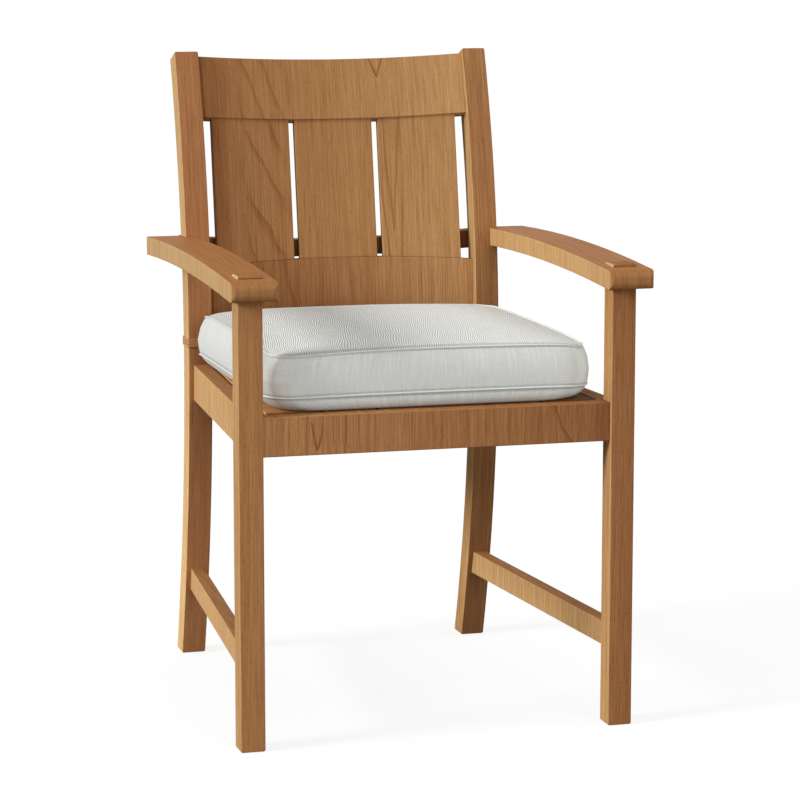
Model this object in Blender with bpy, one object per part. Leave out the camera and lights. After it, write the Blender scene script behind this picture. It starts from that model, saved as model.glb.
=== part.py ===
import math

import bmesh
import bpy
from mathutils import Vector

for old in list(bpy.data.objects):
    bpy.data.objects.remove(old, do_unlink=True)

# Sizes in metres. Y runs backward from the front legs' front faces, Z up from the floor.
overall_height = 0.900
seat_height = 0.448
fit_gap = 0.0003
edge_ease = 0.0015
ease_steps = 2
tenon_thickness = 0.010
tenon_height = 0.018
tenon_length = 0.018

# Front legs
front_spread = 0.548
front_leg_width = 0.0334
front_leg_depth = 0.0348
tenon_proud = 0.0026

# Rear legs, curved in side view with the waist at seat height
rear_spread = 0.4738
post_width = 0.0352
post_depth = 0.0365
waist_above_seat = 0.019
waist_y = 0.4933
foot_set_back = 0.072
top_set_back = 0.0787
post_stations = 11

# Arms
arm_width = 0.063
arm_thickness = 0.0265
arm_above_seat = 0.182
arm_rear_lift = 0.003
arm_rise = 0.0085
arm_overhang = 0.031
arm_past_post = 0.007
arm_nose = 0.010
arm_front_corner = 0.006
arm_rear_corner = 0.014
arm_end_steps = 5
arm_mid_steps = 8

# Rail across the back at arm height
cross_depth = 0.024
cross_height = 0.0275
cross_drop = 0.0004
cross_sag = 0.012
cross_low_sag = 0.0096
cross_housing = 0.004

# Back rails and slats
back_bow = 0.014
bow_stations = 10
top_rail_height = 0.0917
top_rail_thickness = 0.026
top_rail_drop = 0.0076
top_rail_set_back = 0.0096
top_rail_dish = 0.0032
low_rail_height = 0.090
low_rail_thickness = 0.022
low_rail_below_arm = 0.0436
low_rail_set_back = 0.0143
low_rail_crown = 0.0076
back_tenon_height = 0.050
slat_gap = 0.0082
slat_end_gap = 0.0157
slat_thickness = 0.012
slat_recess = 0.003
slat_tongue = 0.012

# Seat frame and deck
rail_height = 0.053
rail_thickness = 0.0235
front_rail_y = 0.006
side_rail_rear_inset = 0.0075
side_rail_front_inset = 0.0173
side_tenon_shift = 0.004
deck_count = 6
deck_gap = 0.0025
deck_side_gap = 0.005
deck_thickness = 0.012
cleat_depth = 0.020
cleat_height = 0.022
cleat_end_gap = 0.012

# Stretchers
stretcher_mid = 0.120
stretcher_height = 0.034
stretcher_thickness = 0.020

# Cushion
cushion_side_gap = 0.0062
cushion_set_back = 0.014
cushion_back_gap = 0.0043
cushion_corner = 0.038
cushion_height = 0.0925
crown_rise = 0.0125
corner_droop = 0.0065
seam_low = 0.0215
low_shoulder = 0.0015
high_shoulder = 0.0105
seam_groove = 0.0055
seam_half = 0.0055
welt_radius = 0.0022
welt_depth = 0.001
cover_wall = 0.0017
foam_gap = 0.0004
zip_width = 0.008
zip_gap = 0.0008
base_inset = 0.019
base_mid_inset = 0.007
base_round = 0.0065
crown_shares = (0.07, 0.11, 0.22, 0.44, 0.70)
corner_steps = 4
side_steps = 6
welt_sides = 8

# Ties
tie_height = 0.0122
tie_thickness = 0.0012
tie_below_rail = 0.0127
tie_slack = 0.0004

teak = (0.36, 0.17, 0.07)
dark_teak = (0.30, 0.135, 0.055)
fabric = (0.72, 0.71, 0.68)
strap = (0.42, 0.24, 0.12)
foam_colour = (0.80, 0.76, 0.62)
zip_colour = (0.62, 0.61, 0.59)

# Heights that follow the seat
waist_height = seat_height + waist_above_seat
arm_front_height = seat_height + arm_above_seat
arm_rear_height = arm_front_height + arm_rear_lift
low_rail_low = arm_rear_height - low_rail_below_arm - low_rail_height

x_axis = Vector((1, 0, 0))
y_axis = Vector((0, 1, 0))
z_axis = Vector((0, 0, 1))

chair = bpy.data.objects.new("chair", None)
bpy.context.collection.objects.link(chair)
reach_y = []


def make_material(name, colour, roughness):
    material = bpy.data.materials.new(name)
    material.use_nodes = True
    shader = material.node_tree.nodes["Principled BSDF"]
    shader.inputs["Base Color"].default_value = (*colour, 1)
    shader.inputs["Roughness"].default_value = roughness
    shader.inputs["Metallic"].default_value = 0
    return material


def make_object(name, points, faces, colour=None, roughness=0.5):
    mesh = bpy.data.meshes.new(name)
    mesh.from_pydata(points, [], faces)
    work = bmesh.new()
    work.from_mesh(mesh)
    bmesh.ops.recalc_face_normals(work, faces=work.faces)
    work.to_mesh(mesh)
    work.free()
    made = bpy.data.objects.new(name, mesh)
    bpy.context.collection.objects.link(made)
    made.parent = chair
    if colour is None:
        made.hide_render = True
        made.display_type = "WIRE"
    else:
        mesh.materials.append(make_material(name, colour, roughness))
        reach_y.extend(point.y for point in points)
    return made


def ring(centre, across, along, width, depth, ease=edge_ease):
    # A rectangle with rounded corners, or a plain one when ease is 0
    steps = ease_steps if ease else 0
    points = []
    for corner in range(4):
        sign_u = 1 if corner in (0, 3) else -1
        sign_v = 1 if corner in (0, 1) else -1
        for step in range(steps + 1):
            angle = math.pi / 2 * (corner + step / max(steps, 1))
            u = sign_u * (width / 2 - ease) + ease * math.cos(angle)
            v = sign_v * (depth / 2 - ease) + ease * math.sin(angle)
            points.append(centre + across * u + along * v)
    return points


def strip_faces(first, second):
    count = len(first)
    return [(first[i], first[(i + 1) % count], second[(i + 1) % count], second[i]) for i in range(count)]


def loft(name, rings, colour=None, roughness=0.5):
    count = len(rings[0])
    points = [point for loop in rings for point in loop]
    rows = [range(row * count, (row + 1) * count) for row in range(len(rings))]
    faces = [tuple(rows[0]), tuple(rows[-1])]
    for low, high in zip(rows, rows[1:]):
        faces += strip_faces(low, high)
    return make_object(name, points, faces, colour, roughness)


def bar(name, start, end, across, up, width, height, grow=0.0):
    # A plain rectangular bar, grown on every side by grow
    way = (end - start).normalized() * grow
    size = (width + 2 * grow, height + 2 * grow)
    return loft(name, [ring(point, across, up, *size, 0) for point in (start - way, end + way)])


def combine(body, tool, operation):
    step = body.modifiers.new(tool.name, "BOOLEAN")
    step.operation = operation
    step.solver = "EXACT"
    step.object = tool


def tenon(name, rail, hosts, start, end, across, up, width, height):
    # One bar through the rail whose ends are the tenons, and its mortises in the legs
    combine(rail, bar(name + "_tenon", start, end, across, up, width, height), "UNION")
    mortise = bar(name + "_mortise", start, end, across, up, width, height, fit_gap)
    for host in hosts:
        combine(host, mortise, "DIFFERENCE")


def post_front(z):
    if z < waist_height:
        return waist_y + foot_set_back * ((waist_height - z) / waist_height) ** 2
    return waist_y + top_set_back * ((z - waist_height) / (overall_height - waist_height)) ** 2


def post_slope(z):
    if z < waist_height:
        return -2 * foot_set_back * (waist_height - z) / waist_height**2
    return 2 * top_set_back * (z - waist_height) / (overall_height - waist_height) ** 2


def post_back(z):
    return post_front(z) + post_depth * math.hypot(1, post_slope(z))


def post_ring(z, x, grow, ease):
    # Level sections below the waist, sections square to the rake above it
    slope = post_slope(z)
    if z < waist_height:
        back = y_axis
        depth = post_depth * math.hypot(1, slope)
    else:
        back = Vector((0, 1, -slope)).normalized()
        depth = post_depth
    centre = Vector((x, post_front(z), z)) + back * depth / 2
    return ring(centre, x_axis, back, post_width + 2 * grow, depth + 2 * grow, ease)


def post_rings(x, grow=0.0, ease=edge_ease):
    # Each end is drawn in by the ease, so a grown cutter with no ease has plain ends
    low = [waist_height * step / post_stations for step in range(1, post_stations)]
    rise = overall_height - waist_height
    high = [waist_height + rise * step / post_stations for step in range(post_stations)]
    body = [post_ring(z, x, grow, ease) for z in [edge_ease, *low, *high, overall_height - edge_ease]]
    ends = [post_ring(z, x, grow - ease, ease) for z in (0, overall_height)]
    return [ends[0], *body, ends[1]]


front_leg_x = (front_spread - front_leg_width) / 2
front_inner = front_spread / 2 - front_leg_width
post_x = (rear_spread - post_width) / 2
post_inner = rear_spread / 2 - post_width
arm_front_y = -arm_overhang
arm_rear_y = post_back(arm_rear_height) + arm_past_post
arm_length = arm_rear_y - arm_front_y


def arm_top(y):
    share = (y - arm_front_y) / arm_length
    level = arm_front_height + (arm_rear_height - arm_front_height) * share
    return level + 4 * arm_rise * share * (1 - share)


def rounding(distance, radius):
    # How far a rounded corner has drawn in at this distance from the end
    if distance >= radius:
        return 0.0
    return radius - math.sqrt(max(radius**2 - (radius - distance) ** 2, 0.0))


def arm_rings(side):
    ends = [
        arm_rear_corner * (1 - math.cos(math.pi / 2 * step / arm_end_steps))
        for step in range(arm_end_steps + 1)
    ]
    straight = arm_length - 2 * arm_rear_corner
    stations = ends + [ends[-1] + straight * step / arm_mid_steps for step in range(1, arm_mid_steps)]
    stations += [arm_length - distance for distance in reversed(ends)]
    rings = []
    for station in stations:
        y = arm_front_y + station
        front = rounding(station, arm_front_corner)
        rear = rounding(arm_length - station, arm_rear_corner)
        nose = rounding(min(station, arm_length - station), arm_nose)
        outer = arm_width / 2 - max(front, rear)
        inner = arm_width / 2 - front
        centre = Vector((side * (front_leg_x + (outer - inner) / 2), y, arm_top(y) - arm_thickness / 2))
        rings.append(ring(centre, x_axis, z_axis, outer + inner, arm_thickness - 2 * nose))
    return rings


class BackRail:
    # A bowed rail: its plane is raked and its edges may rise or dip towards the middle
    def __init__(self, low_y, low_z, rake, half, thickness, height, low_lift, high_lift):
        self.base = Vector((0, low_y, low_z))
        self.up = Vector((0, math.sin(rake), math.cos(rake)))
        self.back = Vector((0, math.cos(rake), -math.sin(rake)))
        self.half = half
        self.thickness = thickness
        self.height = height
        self.low_lift = low_lift
        self.high_lift = high_lift

    def share(self, x):
        return 1 - (x / self.half) ** 2

    def front_low(self, x):
        q = self.share(x)
        return self.base + x_axis * x + self.back * back_bow * q + self.up * self.low_lift * q

    def tall(self, x):
        return self.height + (self.high_lift - self.low_lift) * self.share(x)

    def middle(self, x):
        return self.front_low(x) + self.back * self.thickness / 2 + self.up * self.tall(x) / 2

    def loft(self, name, colour):
        places = [self.half * (2 * step / bow_stations - 1) for step in range(bow_stations + 1)]
        rings = [ring(self.middle(x), self.back, self.up, self.thickness, self.tall(x)) for x in places]
        return loft(name, rings, colour)


sides = {"left": -1, "right": 1}
front_legs = {}
rear_legs = {}
arms = {}
leg_top = arm_top(front_leg_depth / 2) + tenon_proud

for name, side in sides.items():
    rings = []
    for z, inset in ((0, edge_ease), (edge_ease, 0), (leg_top - edge_ease, 0), (leg_top, edge_ease)):
        centre = Vector((side * front_leg_x, front_leg_depth / 2, z))
        rings.append(ring(centre, x_axis, y_axis, front_leg_width - 2 * inset, front_leg_depth - 2 * inset))
    front_legs[name] = loft("front_leg_" + name, rings, teak)
    rear_legs[name] = loft("rear_leg_" + name, post_rings(side * post_x), teak)
    arms[name] = loft("armrest_" + name, arm_rings(side), teak)

posts = {}
for name, side in sides.items():
    posts[name] = loft("post_space_" + name, post_rings(side * post_x, fit_gap, 0))

for name, side in sides.items():
    centre = Vector((side * front_leg_x, front_leg_depth / 2, 0))
    low = centre + z_axis * (leg_top - 2 * arm_thickness)
    high = centre + z_axis * (leg_top + arm_thickness)
    hole = bar("arm_hole_" + name, low, high, x_axis, y_axis, front_leg_width, front_leg_depth, fit_gap)
    combine(arms[name], hole, "DIFFERENCE")
    notch = []
    for z in (arm_rear_height - 2 * arm_thickness, arm_rear_height, arm_rear_height + arm_thickness):
        centre = Vector((side * post_x, post_front(z) - fit_gap + post_depth, z))
        notch.append(ring(centre, x_axis, y_axis, post_width + 2 * fit_gap, 2 * post_depth, 0))
    combine(arms[name], loft("arm_notch_" + name, notch), "DIFFERENCE")

# Rails of the back
rail_half = post_inner - fit_gap
top_rail_high = overall_height - top_rail_drop
top_rake = math.atan(post_slope(top_rail_high - top_rail_height / 2))
top_rail_low = top_rail_high - top_rail_height * math.cos(top_rake)
low_rake = math.atan(post_slope(low_rail_low + low_rail_height / 2))
top_rail = BackRail(
    post_front(top_rail_low) + top_rail_set_back, top_rail_low, top_rake, rail_half,
    top_rail_thickness, top_rail_height, -top_rail_dish, -top_rail_dish,
)
low_rail = BackRail(
    post_front(low_rail_low) + low_rail_set_back, low_rail_low, low_rake, rail_half,
    low_rail_thickness, low_rail_height, 0.0, low_rail_crown,
)
cross_low = arm_rear_height - cross_drop - cross_height
cross_rail = BackRail(
    post_back(cross_low + cross_height / 2) - cross_housing, cross_low, 0.0, rear_spread / 2 - fit_gap,
    cross_depth, cross_height, -cross_low_sag, -cross_sag,
)
top_object = top_rail.loft("top_rail", teak)
low_object = low_rail.loft("lower_back_rail", teak)
cross_object = cross_rail.loft("arm_cross_rail", dark_teak)
for post in posts.values():
    combine(cross_object, post, "DIFFERENCE")

for label, rail, piece in (("top", top_rail, top_object), ("low", low_rail, low_object)):
    for name, side in sides.items():
        end = rail.middle(side * rail.half)
        tenon(
            label + "_" + name, piece, [rear_legs[name]],
            end - x_axis * side * tenon_length, end + x_axis * side * tenon_length,
            rail.back, rail.up, tenon_thickness, back_tenon_height,
        )

slat_width = 2 * (post_inner - slat_end_gap - slat_gap) / 3
for place, name in enumerate(("left", "centre", "right"), -1):
    x = place * (slat_width + slat_gap)
    low = low_rail.front_low(x) + low_rail.up * low_rail.tall(x) + low_rail.back * slat_recess
    high = top_rail.front_low(x) + top_rail.back * slat_recess
    way = (high - low).normalized()
    turn = Vector((1, -2 * back_bow * x / rail_half**2, 0))
    across = (turn - way * turn.dot(way)).normalized()
    back = way.cross(across)
    start = low - way * slat_tongue + back * slat_thickness / 2
    end = high + way * slat_tongue + back * slat_thickness / 2
    loft("back_slat_" + name, [ring(p, across, back, slat_width, slat_thickness) for p in (start, end)], teak)
    groove = bar("slat_groove_" + name, start, end, across, back, slat_width, slat_thickness, fit_gap)
    combine(top_object, groove, "DIFFERENCE")
    combine(low_object, groove, "DIFFERENCE")

# Seat frame
rail_mid = seat_height - rail_height / 2
front_rail_mid = front_rail_y + rail_thickness / 2
front_rail_back = front_rail_y + rail_thickness
rear_rail_mid = waist_y + post_depth / 2
rear_rail_front = rear_rail_mid - rail_thickness / 2
high_tenon = rail_mid + rail_height / 4
low_tenon = rail_mid - rail_height / 4


def cross_bar(name, half, y, legs, colour):
    ends = [Vector((side * (half - fit_gap), y, rail_mid)) for side in sides.values()]
    rail = loft(name, [ring(p, y_axis, z_axis, rail_thickness, rail_height) for p in ends], colour)
    reach = [Vector((side * (half + tenon_length), y, high_tenon)) for side in sides.values()]
    tenon(name, rail, list(legs.values()), *reach, y_axis, z_axis, tenon_thickness, tenon_height)


cross_bar("front_seat_rail", front_inner, front_rail_mid, front_legs, teak)
cross_bar("rear_seat_rail", post_inner, rear_rail_mid, rear_legs, dark_teak)

front_stop = front_leg_depth + fit_gap
side_front_x = front_spread / 2 - side_rail_front_inset - rail_thickness / 2
side_rear_x = rear_spread / 2 - side_rail_rear_inset - rail_thickness / 2


def long_bar(label, name, side, front_x, rear_x, z, thickness, height, tenon_z, tenon_shift):
    # A rail from the front leg's back to the rear leg's front, cut to the rear leg's curve
    contact = post_front(z)

    def line(y, height_at):
        share = (y - front_leg_depth) / (contact - front_leg_depth)
        return Vector((side * (front_x + (rear_x - front_x) * share), y, height_at))

    places = [line(y, z) for y in (front_stop, contact + post_depth / 2)]
    rail = loft(label + name, [ring(p, x_axis, z_axis, thickness, height) for p in places], teak)
    combine(rail, posts[name], "DIFFERENCE")
    shift = x_axis * side * tenon_shift
    reach = [line(y, tenon_z) + shift for y in (front_leg_depth - tenon_length, contact + tenon_length)]
    hosts = [front_legs[name], rear_legs[name]]
    tenon(label + name, rail, hosts, *reach, x_axis, z_axis, tenon_thickness, tenon_height)


for name, side in sides.items():
    long_bar(
        "side_seat_rail_", name, side, side_front_x, side_rear_x,
        rail_mid, rail_thickness, rail_height, low_tenon, side_tenon_shift,
    )
    long_bar(
        "side_stretcher_", name, side, front_leg_x, post_x,
        stretcher_mid, stretcher_thickness, stretcher_height, stretcher_mid, 0.0,
    )

# Deck boards follow the taper of the side rails
deck_front = front_rail_back + fit_gap
deck_rear = rear_rail_front - fit_gap


def rail_inner(y):
    share = (y - front_leg_depth) / (waist_y - front_leg_depth)
    return side_front_x + (side_rear_x - side_front_x) * share - rail_thickness / 2


def board_ring(index, y):
    span = 2 * rail_inner(y)
    width = (span - 2 * deck_side_gap - deck_gap * (deck_count - 1)) / deck_count
    x = -span / 2 + deck_side_gap + width / 2 + index * (width + deck_gap)
    return ring(Vector((x, y, seat_height - deck_thickness / 2)), x_axis, z_axis, width, deck_thickness)


for index in range(deck_count):
    loft(f"seat_slat_{index + 1}", [board_ring(index, y) for y in (deck_front, deck_rear)], teak)

cleat_z = seat_height - deck_thickness - fit_gap - cleat_height / 2
for name, y in (("front", deck_front + cleat_depth / 2), ("rear", deck_rear - cleat_depth / 2)):
    half = rail_inner(y) - cleat_end_gap
    ends = [Vector((side * half, y, cleat_z)) for side in sides.values()]
    loft("seat_cleat_" + name, [ring(p, y_axis, z_axis, cleat_depth, cleat_height) for p in ends], dark_teak)

# Cushion: rings of a rounded rectangle, each with its own inset and height
cushion_base = seat_height + fit_gap
cushion_width = 2 * (front_inner - cushion_side_gap)
cushion_front = front_rail_y + cushion_set_back
cushion_rear = waist_y - cushion_back_gap
cushion_mid_y = (cushion_front + cushion_rear) / 2
seam_high = cushion_height - crown_rise
bulge = (seam_low + seam_high) / 2
zip_low = bulge - zip_width / 2
zip_high = bulge + zip_width / 2


def outline(inset, height):
    half_x = cushion_width / 2 - inset
    half_y = (cushion_rear - cushion_front) / 2 - inset
    radius = max(cushion_corner - inset, cushion_corner / 2)
    droop = corner_droop * min(height / seam_high, 1)
    points = []
    for corner in range(4):
        sign_u = 1 if corner in (0, 3) else -1
        sign_v = 1 if corner in (0, 1) else -1
        for step in range(corner_steps + 1):
            angle = math.pi / 2 * (corner + step / corner_steps)
            x = sign_u * (half_x - radius) + radius * math.cos(angle)
            y = cushion_mid_y + sign_v * (half_y - radius) + radius * math.sin(angle)
            points.append(Vector((x, y, cushion_base + height)))
        last = points[-1]
        if corner % 2 == 0:
            target = Vector((-last.x, last.y, last.z))
        else:
            target = Vector((last.x, 2 * cushion_mid_y - last.y, last.z))
        points += [last.lerp(target, step / side_steps) for step in range(1, side_steps)]
    for point in points:
        out_x = 2 * point.x / cushion_width
        out_y = 2 * (point.y - cushion_mid_y) / (cushion_rear - cushion_front)
        point.z -= droop * (out_x * out_y) ** 4
    return points


def crown(inset):
    # Height of the top, rounded at the edge and nearly flat in the middle
    share = 2 * inset / cushion_width
    return seam_high + crown_rise * (1 - (1 - share) ** 4)


crown_insets = [cushion_width / 2 * share for share in crown_shares]
cover_profile = [
    (base_inset, 0),
    (base_mid_inset, base_round),
    (low_shoulder, seam_low - seam_half),
    (low_shoulder + seam_groove, seam_low),
    (low_shoulder, seam_low + seam_half),
    (0, zip_low),
    (0, zip_high),
    (high_shoulder, seam_high - seam_half),
    (high_shoulder + seam_groove, seam_high),
]
cover_profile += [(inset, crown(inset)) for inset in crown_insets]
lining_low = low_shoulder + seam_groove + cover_wall
lining_high = high_shoulder + seam_groove + cover_wall
lining_profile = [
    (base_inset + cover_wall, cover_wall),
    (base_mid_inset + 2 * cover_wall, base_round + cover_wall),
    (lining_low, seam_low),
    (cover_wall, zip_low),
    (cover_wall, zip_high),
    (lining_high, seam_high - cover_wall),
]
lining_profile += [(inset + cover_wall, crown(inset) - cover_wall) for inset in crown_insets]
foam_profile = []
for inset, height in lining_profile:
    drop = foam_gap if height > bulge else -foam_gap
    foam_profile.append((inset + foam_gap, height - drop))

loft("cushion_foam", [outline(*place) for place in foam_profile], foam_colour, 0.9)

# The cover is an outer and an inner skin, joined round the zip's slit in the rear boxing
slit = range(corner_steps + 1, corner_steps + side_steps - 1)
slit_ends = (slit.start, slit.stop)
skins = [[outline(*place) for place in profile] for profile in (cover_profile, lining_profile)]
ring_size = len(skins[0][0])
cover_points = []
cover_faces = []
slit_rows = []
for skin, profile in zip(skins, (cover_profile, lining_profile)):
    start = len(cover_points)
    cover_points += [point for loop in skin for point in loop]
    rows = [range(start + row * ring_size, start + (row + 1) * ring_size) for row in range(len(skin))]
    low_row = [height for inset, height in profile].index(zip_low)
    cover_faces += [tuple(rows[0]), tuple(rows[-1])]
    for row in range(len(rows) - 1):
        strip = strip_faces(rows[row], rows[row + 1])
        cover_faces += [face for column, face in enumerate(strip) if row != low_row or column not in slit]
    slit_rows.append((rows[low_row], rows[low_row + 1]))
(outer_low, outer_high), (inner_low, inner_high) = slit_rows
for column in slit:
    for out_row, in_row in ((outer_low, inner_low), (outer_high, inner_high)):
        cover_faces.append((out_row[column], out_row[column + 1], in_row[column + 1], in_row[column]))
for column in slit_ends:
    cover_faces.append((outer_low[column], outer_high[column], inner_high[column], inner_low[column]))
make_object("cushion_cover", cover_points, cover_faces, fabric, 0.9)

zip_half = skins[0][0][slit.start].x - zip_gap
zip_ends = [
    Vector((side * zip_half, cushion_rear - cover_wall / 2, cushion_base + bulge)) for side in sides.values()
]
loft(
    "cushion_zip",
    [ring(p, y_axis, z_axis, cover_wall, zip_width - 2 * zip_gap, 0) for p in zip_ends],
    zip_colour,
)


def closed_band(name, rings, colour, roughness):
    count = len(rings[0])
    rows = [range(row * count, (row + 1) * count) for row in range(len(rings))]
    faces = []
    for row in range(len(rows)):
        faces += strip_faces(rows[row - 1], rows[row])
    return make_object(name, [point for loop in rings for point in loop], faces, colour, roughness)


for name, seam, shoulder in (("upper", seam_high, high_shoulder), ("lower", seam_low, low_shoulder)):
    rings = []
    for step in range(welt_sides):
        angle = 2 * math.pi * step / welt_sides
        inset = shoulder + welt_depth - welt_radius * math.cos(angle)
        rings.append(outline(inset, seam + welt_radius * math.sin(angle)))
    closed_band("cushion_welt_" + name, rings, fabric, 0.9)

tie_mid = low_rail_low - tie_below_rail - tie_height / 2
tie_y = post_front(tie_mid) + post_depth / 2
for name, side in sides.items():
    rings = []
    outside = tie_slack + tie_thickness
    for up, grow in ((-1, outside), (1, outside), (1, tie_slack), (-1, tie_slack)):
        centre = Vector((side * post_x, tie_y, tie_mid + up * tie_height / 2))
        size = (post_width + 2 * grow, post_depth + 2 * grow)
        rings.append(ring(centre, x_axis, y_axis, *size, edge_ease + grow))
    closed_band("cushion_tie_" + name, rings, strap, 0.8)

# The origin is in the middle of the chair's depth
chair.location.y = -(min(reach_y) + max(reach_y)) / 2
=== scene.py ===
import math

import bmesh
import bpy
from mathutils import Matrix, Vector
from mathutils.bvhtree import BVHTree


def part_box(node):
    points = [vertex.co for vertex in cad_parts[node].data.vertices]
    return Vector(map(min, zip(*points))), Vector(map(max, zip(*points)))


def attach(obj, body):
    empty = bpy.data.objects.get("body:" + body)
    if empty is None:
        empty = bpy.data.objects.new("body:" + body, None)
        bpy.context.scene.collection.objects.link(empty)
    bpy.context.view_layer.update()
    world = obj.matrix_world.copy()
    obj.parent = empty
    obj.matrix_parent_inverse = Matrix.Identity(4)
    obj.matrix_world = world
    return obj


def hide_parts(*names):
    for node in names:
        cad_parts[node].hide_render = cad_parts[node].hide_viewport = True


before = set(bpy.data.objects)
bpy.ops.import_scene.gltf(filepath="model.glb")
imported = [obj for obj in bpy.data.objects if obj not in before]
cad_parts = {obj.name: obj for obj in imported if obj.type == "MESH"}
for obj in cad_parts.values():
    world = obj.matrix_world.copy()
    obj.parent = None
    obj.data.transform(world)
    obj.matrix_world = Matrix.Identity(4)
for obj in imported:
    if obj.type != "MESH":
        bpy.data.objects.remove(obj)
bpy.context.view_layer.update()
scene = bpy.context.scene
scene.view_settings.view_transform = "Standard"
print("frame loaded with", len(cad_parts), "solids")


# short ways to make objects, shared by all the pieces
nearly = 0.9  # the share of a direction that counts as along an axis


def addObject(name, data):
    piece = bpy.data.objects.new(name, data)
    scene.collection.objects.link(piece)
    return piece


def toMesh(form, name):
    mesh = bpy.data.meshes.new(name)
    form.to_mesh(mesh)
    form.free()
    return mesh


def giveWall(piece, thick):
    wall = piece.modifiers.new("wall", "SOLIDIFY")
    wall.thickness = thick
    wall.offset = -1


# camera, matched to the photograph
cameraView = {
    "place": (-1.1262, -4.1010, 1.0978),
    "tilt": 80.91,
    "turn": -15.70,
    "lens": 136.62,
    "film": 36.0,
    "sight": 300,
}


def makeCamera(view):
    lens = bpy.data.cameras.new("photoCamera")
    lens.lens = view["lens"]
    lens.sensor_width = view["film"]
    lens.clip_end = view["sight"]
    camera = addObject("photoCamera", lens)
    camera.location = view["place"]
    camera.rotation_euler = (math.radians(view["tilt"]), 0, math.radians(view["turn"]))
    scene.camera = camera


makeCamera(cameraView)
print("camera set")


# colours, and the node wiring shared by all the finishes
def paint(colour, factor=(1, 1, 1)):
    return tuple(c * f for c, f in zip(colour, factor)) + (1,)


def grey(level):
    return paint((level,) * 3)


class Wiring:
    def __init__(self, tree):
        self.tree = tree

    def put(self, kind, inputs=None, **settings):
        node = self.tree.nodes.new("ShaderNode" + kind)
        for key, value in settings.items():
            setattr(node, key, value)
        for socket, value in (inputs or {}).items():
            self.join(value, node.inputs[socket])
        return node

    def join(self, value, socket):
        if isinstance(value, bpy.types.NodeSocket):
            self.tree.links.new(value, socket)
        else:
            socket.default_value = value

    def calc(self, operation, *values):
        node = self.put("Math", operation=operation)
        for socket, value in zip(node.inputs, values):
            self.join(value, socket)
        return node.outputs[0]

    def times(self, first, second):
        return self.calc("MULTIPLY", first, second)

    def away(self, value, middle):
        return self.calc("ABSOLUTE", self.calc("SUBTRACT", value, middle))

    def wave(self, value, pitch):
        return self.calc("SINE", self.times(value, 2 * math.pi / pitch))

    def split(self, vector):
        return self.put("SeparateXYZ", {0: vector}).outputs

    def spot(self):
        return self.put("TexCoord").outputs["Object"]

    def facing(self):
        return self.split(self.put("NewGeometry").outputs["True Normal"])

    def stretch(self, vector, factors):
        node = self.put("VectorMath", {0: vector, 1: factors}, operation="MULTIPLY")
        return node.outputs[0]

    def noise(self, vector, detail=1.0, rough=0.5):
        node = self.put("TexNoise", {"Vector": vector, "Scale": 1.0, "Detail": detail, "Roughness": rough})
        return node.outputs[0]

    def band(self, value, low, high, bottom=0.0, top=1.0):
        node = self.put("MapRange", {"Value": value}, interpolation_type="SMOOTHSTEP")
        for socket, number in zip(node.inputs[1:5], (low, high, bottom, top)):
            socket.default_value = number
        return node.outputs[0]

    def either(self, share, first, second):
        return self.put("Mix", {0: share, 2: first, 3: second}, data_type="FLOAT").outputs[0]

    def tint(self, share, first, second, how="MIX"):
        node = self.put("Mix", {0: share, 6: first, 7: second}, data_type="RGBA", blend_type=how)
        return node.outputs[2]

    def toned(self, share, colour, tone):
        return self.tint(share, colour, paint(tone), "MULTIPLY")


def newFinish(name):
    material = bpy.data.materials.new(name)
    material.use_nodes = True
    return material, Wiring(material.node_tree), material.node_tree.nodes["Principled BSDF"]


def coat(wire, shader, colour, height, look):
    # what every finish ends with: its colour, how dull and how glossy it is, and its relief
    wire.join(colour, shader.inputs["Base Color"])
    wire.join(look["rough"], shader.inputs["Roughness"])
    shader.inputs["Specular IOR Level"].default_value = look["gloss"]
    bump = wire.put("Bump", {"Height": height, "Strength": look["relief"], "Distance": look["reliefDeep"]})
    wire.join(bump.outputs[0], shader.inputs["Normal"])


# soft studio light: a key from the left, a low front light, a wide top light, a pale room and a white floor
# that keeps the shadow; each lamp has where it comes from, its level and its spread in degrees
studio = {
    "lamps": {
        "keyLight": ((-0.895, -0.165, 0.413), 0.80, 16.0),
        "frontLight": ((0.10, -0.97, 0.20), 0.38, 40.0),
        "topLight": ((0.0, -0.15, 0.98), 0.30, 100.0),
    },
    "roomLevel": 0.22,
    "floorBounce": 0.20,
    "floorGlow": 0.84,
    "floorShade": 0.20,
    "floorReach": 120.0,
    "floorDrop": 0.0005,
}


def seenApart(wire, lighting, shown):
    # the camera, gloss and glass see one shader, and the chair is lit by the other
    rays = wire.put("LightPath").outputs
    first = wire.calc("MAXIMUM", rays["Is Camera Ray"], rays["Is Glossy Ray"])
    direct = wire.calc("MAXIMUM", first, rays["Is Transmission Ray"])
    return wire.put("MixShader", {0: direct, 1: lighting.outputs[0], 2: shown.outputs[0]}).outputs[0]


def hangLamp(name, comesFrom, level, spread):
    sun = bpy.data.lights.new(name, "SUN")
    sun.energy = level * math.pi
    sun.angle = math.radians(spread)
    lamp = addObject(name, sun)
    lamp.rotation_mode = "QUATERNION"
    lamp.rotation_quaternion = (-Vector(comesFrom)).to_track_quat("-Z", "Y")


def lightRoom(look):
    room = bpy.data.worlds.new("room")
    scene.world = room
    room.use_nodes = True
    wire = Wiring(room.node_tree)
    wire.tree.nodes.clear()
    lit = wire.put("Background", {"Color": grey(1), "Strength": look["roomLevel"]})
    white = wire.put("Background", {"Color": grey(1), "Strength": 1.0})
    wire.put("OutputWorld", {"Surface": seenApart(wire, lit, white)})


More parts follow.
